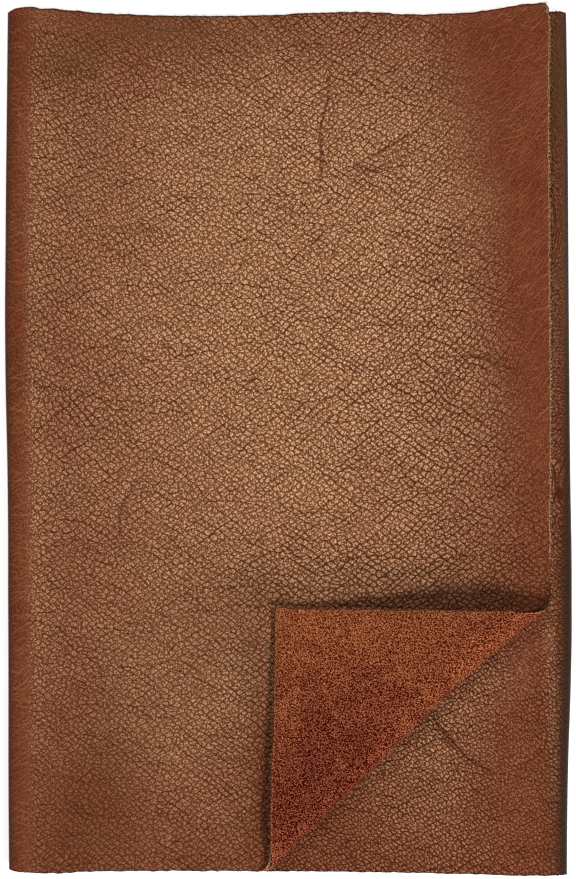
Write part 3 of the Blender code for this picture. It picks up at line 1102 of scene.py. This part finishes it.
print("suede side:", len(suede.tree.nodes), "nodes")

# %% Finish of the cut edge
# Where the rim is not light tan, it is painted dark with the shade that it lies in.
EDGE_TAN = (0.52, 0.27, 0.15, 1.0)
EDGE_BROWN = (0.060, 0.018, 0.007, 1.0)
EDGE_SHADE = (0.024, 0.009, 0.004, 1.0)
TUFT_SIZE = 0.7
TUFT_DEPTH = 0.3 * MM

edge = Finish(hide.data.materials[RIM])
tufts = edge.noise(edge.flat_cut(), TUFT_SIZE, 1.0)
lip = edge.ease(edge.tone("through"), 0.30, 0.05)
raw = edge.mix(edge.ease(tufts, 0.52, 0.66) * 0.8 + lip * 0.6, EDGE_BROWN, EDGE_TAN)
edge.set({
    "Base Color": edge.mix(edge.tone("rim_light"), EDGE_SHADE, raw),
    "Roughness": 0.9,
    "Specular IOR Level": 0.05,
    "Normal": edge.bump(tufts, TUFT_DEPTH),
})
print("cut edge:", len(edge.tree.nodes), "nodes")

# %% [markdown]
# ## Fibres
#
# Suede and raw edges are made of loose fibre ends, which catch the light one by one. Hair particles would
# make them, but a tree of Geometry Nodes shows each step and leaves a plain mesh: scatter points, put one
# thin pointed fibre on each, turn each at random, and store a shade on it for the finish to read.


# %% A tree with named inputs, and running it
def new_tree(name, inputs):
    """A Geometry Nodes tree with named inputs, ready to be filled."""
    tree = bpy.data.node_groups.new(name, "GeometryNodeTree")
    tree.interface.new_socket("Geometry", in_out="INPUT", socket_type="NodeSocketGeometry")
    for label, kind in inputs.items():
        tree.interface.new_socket(label, in_out="INPUT", socket_type=kind)
    tree.interface.new_socket("Geometry", in_out="OUTPUT", socket_type="NodeSocketGeometry")
    nodes = Nodes(tree)
    return nodes, nodes.add("NodeGroupInput").outputs


def grow(piece, nodes, values, name):
    """Runs a tree on a piece and keeps what it makes as a plain mesh."""
    modifier = piece.modifiers.new(nodes.tree.name, "NODES")
    modifier.node_group = nodes.tree
    for item in nodes.tree.interface.items_tree:
        if item.name in values:
            modifier[item.identifier] = values[item.name]
    grown = plain_mesh(piece, name)
    print(name, "has", len(grown.data.polygons), "faces")
    return grown


# %% Steps that both trees share
def fibre(nodes, length, thickness, bend, steps):
    """One fibre that stands on its root, three-sided, pointed and bent to one side."""
    settings = {"fill_type": "NGON"}
    sockets = {"Vertices": 3, "Side Segments": steps, "Radius Bottom": thickness, "Depth": length}
    cone = nodes.add("GeometryNodeMeshCone", settings, {**sockets, "Radius Top": 0.0}).outputs["Mesh"]
    place_of = nodes.add("GeometryNodeInputPosition").outputs[0]
    height = Wire(nodes, nodes.add("ShaderNodeSeparateXYZ", None, {0: place_of}).outputs[2])
    share = height / Wire(nodes, length)
    aside = nodes.add("ShaderNodeCombineXYZ", None, {0: share * share * bend}).outputs[0]
    sockets = {"Geometry": cone, "Offset": aside}
    return nodes.add("GeometryNodeSetPosition", None, sockets).outputs[0]


def random_number(nodes, low, high, seed):
    node = nodes.add("FunctionNodeRandomValue", {"data_type": "FLOAT"}, {2: low, 3: high, "Seed": seed})
    return Wire(nodes, node.outputs[1])


def random_vector(nodes, low, high, seed):
    settings = {"data_type": "FLOAT_VECTOR"}
    return nodes.add("FunctionNodeRandomValue", settings, {0: low, 1: high, "Seed": seed}).outputs[0]


def random_turn(nodes, low, high, seed):
    """A random rotation, with its three angles between low and high."""
    angles = random_vector(nodes, low, high, seed)
    return nodes.add("FunctionNodeEulerToRotation", None, {0: angles}).outputs[0]


def turned_on(nodes, rotation, turn):
    """A rotation that is turned further, in its own frame."""
    sockets = {"Rotation": rotation, "Rotate By": turn}
    return nodes.add("FunctionNodeRotateRotation", {"rotation_space": "LOCAL"}, sockets).outputs[0]


def kept(nodes, name, kind):
    """Something that the mesh keeps on each of its points."""
    return nodes.add("GeometryNodeInputNamedAttribute", {"data_type": kind}, {"Name": name}).outputs[0]


def plant(nodes, points, selection, one, rotation, scale, seed, material):
    """Puts a fibre on each point, shades it, makes it real and gives it its finish."""
    sockets = {"Points": points, "Instance": one, "Rotation": rotation, "Scale": scale}
    if selection:
        sockets["Selection"] = selection
    planted = nodes.add("GeometryNodeInstanceOnPoints", None, sockets).outputs[0]
    shade = random_number(nodes, 0.0, 1.0, seed)
    settings = {"data_type": "FLOAT", "domain": "INSTANCE"}
    sockets = {"Geometry": planted, "Name": "shade", "Value": shade}
    shaded = nodes.add("GeometryNodeStoreNamedAttribute", settings, sockets).outputs[0]
    real = nodes.add("GeometryNodeRealizeInstances", None, {"Geometry": shaded}).outputs[0]
    done = nodes.add("GeometryNodeSetMaterial", None, {"Geometry": real, "Material": material}).outputs[0]
    nodes.add("NodeGroupOutput", None, {"Geometry": done})


# %% Tree for the nap
NAP_INPUTS = {
    "Fibres per square metre": "NodeSocketFloat",
    "Length": "NodeSocketFloat",
    "Thickness": "NodeSocketFloat",
    "Seed": "NodeSocketInt",
    "Material": "NodeSocketMaterial",
}
nap_tree, given = new_tree("Suede nap", NAP_INPUTS)
scattered = nap_tree.add("GeometryNodeDistributePointsOnFaces", {"distribute_method": "RANDOM"}, {
    "Mesh": given["Geometry"],
    "Density": given["Fibres per square metre"],
    "Seed": given["Seed"],
})
nap_fibre = fibre(nap_tree, given["Length"], given["Thickness"], 0.0, 1)
lie = random_turn(nap_tree, (0.9, 0.0, 0.0), (1.45, 0.0, math.tau), given["Seed"])
lying = turned_on(nap_tree, scattered.outputs["Rotation"], lie)
nap_size = random_number(nap_tree, 0.5, 1.3, 11)
plant(nap_tree, scattered.outputs["Points"], None, nap_fibre, lying, nap_size, 12, given["Material"])
print("nap:", len(nap_tree.tree.nodes), "nodes")

# %% Tree for the cut edge
EDGE_INPUTS = {
    "Spacing": "NodeSocketFloat",
    "Length": "NodeSocketFloat",
    "Thickness": "NodeSocketFloat",
    "Bend": "NodeSocketFloat",
    "Spread": "NodeSocketFloat",
    "Seed": "NodeSocketInt",
    "Material": "NodeSocketMaterial",
}
edge_tree, given = new_tree("Edge fibres", EDGE_INPUTS)
path = edge_tree.add("GeometryNodeMeshToCurve", None, {"Mesh": given["Geometry"]}).outputs[0]
sockets = {"Curve": path, "Length": given["Spacing"]}
spots = edge_tree.add("GeometryNodeResampleCurve", {"mode": "LENGTH"}, sockets).outputs[0]
edge_fibre = fibre(edge_tree, given["Length"], given["Thickness"], Wire(edge_tree, given["Bend"]), 3)

aside = random_vector(edge_tree, (-1.0, -1.0, -1.0), (1.0, 1.0, 1.0), given["Seed"])
aside = edge_tree.add("ShaderNodeVectorMath", {"operation": "SCALE"}, {0: aside, "Scale": given["Spread"]})
sockets = {0: kept(edge_tree, "outward", "FLOAT_VECTOR"), 1: aside.outputs[0]}
heading = edge_tree.add("ShaderNodeVectorMath", {"operation": "ADD"}, sockets).outputs[0]
heading = edge_tree.add("FunctionNodeAlignRotationToVector", {"axis": "Z"}, {"Vector": heading}).outputs[0]
spin = random_turn(edge_tree, (0.0, 0.0, 0.0), (0.0, 0.0, math.tau), 21)
standing = turned_on(edge_tree, heading, spin)

edge_size = random_number(edge_tree, 0.3, 1.1, 22) * Wire(edge_tree, kept(edge_tree, "stray", "FLOAT"))
some = edge_tree.add("FunctionNodeRandomValue", {"data_type": "BOOLEAN"}, {"Probability": 0.6, "Seed": 23})
plant(edge_tree, spots, some.outputs[3], edge_fibre, standing, edge_size, 24, given["Material"])
print("edge fibres:", len(edge_tree.tree.nodes), "nodes")


# %% Finish of the fibres
def fibre_finish(name, dark, light, tone_name):
    """Fibres from dark to light by their shade, and lighter where a tone of the leather is."""
    finish = Finish(bpy.data.materials.new(name))
    shade = finish.tone("shade")
    share = shade * shade * 1.1 + finish.tone(tone_name) * 0.6 - 0.3
    colour = finish.mix(finish.ease(share, 0.0, 1.0), dark, light)
    finish.set({"Base Color": colour, "Roughness": 0.8, "Specular IOR Level": 0.05})
    return bpy.data.materials[name]


# %% Grow the nap on the turned corner
NAP_PER_SQUARE_METRE = 1.8e6
NAP_LENGTH = 0.80 * MM
NAP_THICKNESS = 0.06 * MM
NAP_DARK = (0.030, 0.005, 0.002, 1.0)
NAP_LIGHT = (0.750, 0.250, 0.120, 1.0)
FACES_UP = 0.15  # the nap stands where the suede side faces up at least this much

bm = bmesh.new()
bm.from_mesh(hide.data)
bm.verts.ensure_lookup_table()
bare = [f for f in bm.faces if f.material_index != SUEDE or f.normal.z < FACES_UP
        or not all(on_flap[v.index % count] for v in f.verts)]
bmesh.ops.delete(bm, geom=bare, context="FACES")
nap_ground = add_object("nap_ground", mesh_of(bm, "nap_ground"))
nap = grow(nap_ground, nap_tree, {
    "Fibres per square metre": NAP_PER_SQUARE_METRE,
    "Length": NAP_LENGTH,
    "Thickness": NAP_THICKNESS,
    "Seed": 3,
    "Material": fibre_finish("nap", NAP_DARK, NAP_LIGHT, "suede_painted_light"),
}, "suede_nap")

# %% Where the fibres of the cut edge point, and where loose threads stand out
# Threads: x, y, reach, how many times longer
STRAYS = (
    (-4.5, -58.5, 2.5, 3.6),
    (91.0, 154.0, 1.5, 2.5),
    (-7.0, -151.0, 2.5, 2.2),
    (-80.0, -151.0, 3.0, 1.6),
    (60.0, 150.5, 3.0, 1.5),
)

pointing = placed(flat + outward) - placed(flat)
pointing[at_edge] /= np.linalg.norm(pointing, axis=1)[at_edge][:, None]
stray = np.ones(count)
for spot_x, spot_y, reach, times in STRAYS:
    near = np.exp(-((rest_x - spot_x) ** 2 + (rest_y - spot_y) ** 2) / reach**2)
    stray += (times - 1) * near
for kept_name, kind, field, values in (
    ("outward", "FLOAT_VECTOR", "vector", pointing.ravel()),
    ("stray", "FLOAT", "value", stray),
    ("rim_light", "FLOAT", "value", rim_light),
):
    sheet_mesh.attributes.new(kept_name, kind, "POINT").data.foreach_set(field, values)
print(f"threads up to {stray.max():.1f} times as long as the other fibres")

# %% Grow fibres on the cut edge
EDGE_SPACING = 0.32 * MM
EDGE_LENGTH = 0.9 * MM
EDGE_THICKNESS = 0.05 * MM
EDGE_BEND = 0.35 * MM
FIBRE_DARK = (0.050, 0.016, 0.007, 1.0)
FIBRE_LIGHT = (0.60, 0.34, 0.18, 1.0)

bm = bmesh.new()
bm.from_mesh(sheet_mesh)
bmesh.ops.delete(bm, geom=[v for v in bm.verts if not v.is_boundary], context="VERTS")
bmesh.ops.delete(bm, geom=[e for e in bm.edges if not e.is_boundary and not e.is_wire], context="EDGES")
bmesh.ops.delete(bm, geom=list(bm.faces), context="FACES_ONLY")
rim_path = add_object("rim_path", mesh_of(bm, "rim_path"))
fibres = grow(rim_path, edge_tree, {
    "Spacing": EDGE_SPACING,
    "Length": EDGE_LENGTH,
    "Thickness": EDGE_THICKNESS,
    "Bend": EDGE_BEND,
    "Spread": 0.7,
    "Seed": 4,
    "Material": fibre_finish("edge fibre", FIBRE_DARK, FIBRE_LIGHT, "rim_light"),
}, "edge_fibres")

# %% [markdown]
# ## The floor, the light and the camera
#
# The hide is seen from straight above on a plain white table. A wide soft light hangs over its far side, and
# a second one from the lower right gives the turned corner its soft shadow. The sheen in the middle is
# painted into the tan tone.

# %% Floor
FLOOR = 10.0
WHITE = (1.0, 1.0, 1.0, 1.0)

bm = bmesh.new()
bmesh.ops.create_grid(bm, x_segments=1, y_segments=1, size=FLOOR / 2)
floor = add_object("floor", mesh_of(bm, "floor"))
floor.data.materials.append(bpy.data.materials.new("white table"))
Finish(floor.data.materials[0]).set({
    "Base Color": (0.90, 0.90, 0.90, 1.0),
    "Roughness": 0.9,
    "Specular IOR Level": 0.0,
    "Emission Color": WHITE,
    "Emission Strength": 0.58,
})
print(f"a table {FLOOR:.0f} m wide")

# %% Light
# Square lamps that face the middle of the hide: where they hang, how wide, watts
LAMPS = {
    "light_far_side": ((-0.35, 1.25, 1.35), 0.7, 12.0),
    "light_lower_right": ((0.75, -1.15, 1.0), 0.45, 34.0),
}
ROOM_LIGHT = 0.27

for lamp_name, (spot, lamp_size, watts) in LAMPS.items():
    lamp = bpy.data.lights.new(lamp_name, "AREA")
    lamp.shape = "SQUARE"
    lamp.size = lamp_size
    lamp.energy = watts
    hung = add_object(lamp_name, lamp)
    hung.location = spot
    hung.rotation_euler = hung.location.to_track_quat("Z", "Y").to_euler()
    print(f"{lamp_name}: {watts:.0f} W, {hung.location.length:.2f} m away")

world = bpy.data.worlds.new("studio")
world.use_nodes = True
background = world.node_tree.nodes["Background"].inputs
background["Color"].default_value = WHITE
background["Strength"].default_value = ROOM_LIGHT
bpy.context.scene.world = world
bpy.context.scene.view_settings.view_transform = "Standard"

# %% Camera
CAMERA_HEIGHT = 1.5
SENSOR = 36.0
PICTURE_WIDE = 576
PICTURE_TALL = 879
HIDE_PIXELS_WIDE = 566
HIDE_WIDE = 0.2002
SHARP_AT = 0.006  # height above the table that the picture's scale is taken at
view_tall = HIDE_WIDE * PICTURE_TALL / HIDE_PIXELS_WIDE

camera_data = bpy.data.cameras.new("camera")
camera_data.sensor_fit = "AUTO"
camera_data.sensor_width = SENSOR
camera_data.lens = SENSOR * CAMERA_HEIGHT / view_tall
camera = add_object("camera", camera_data)
camera.location = (0.0, 0.0, CAMERA_HEIGHT + SHARP_AT)
bpy.context.scene.camera = camera
print(f"the picture is {view_tall / MM * PICTURE_WIDE / PICTURE_TALL:.1f} by {view_tall / MM:.1f} mm")

# %% [markdown]
# ## Handing it over
#
# The sheet rides on the one body of the imported model and takes the place of its plain solid.

# %% Bodies and sheet
for piece in (hide, nap, fibres):
    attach(piece, "root")
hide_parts("hide")
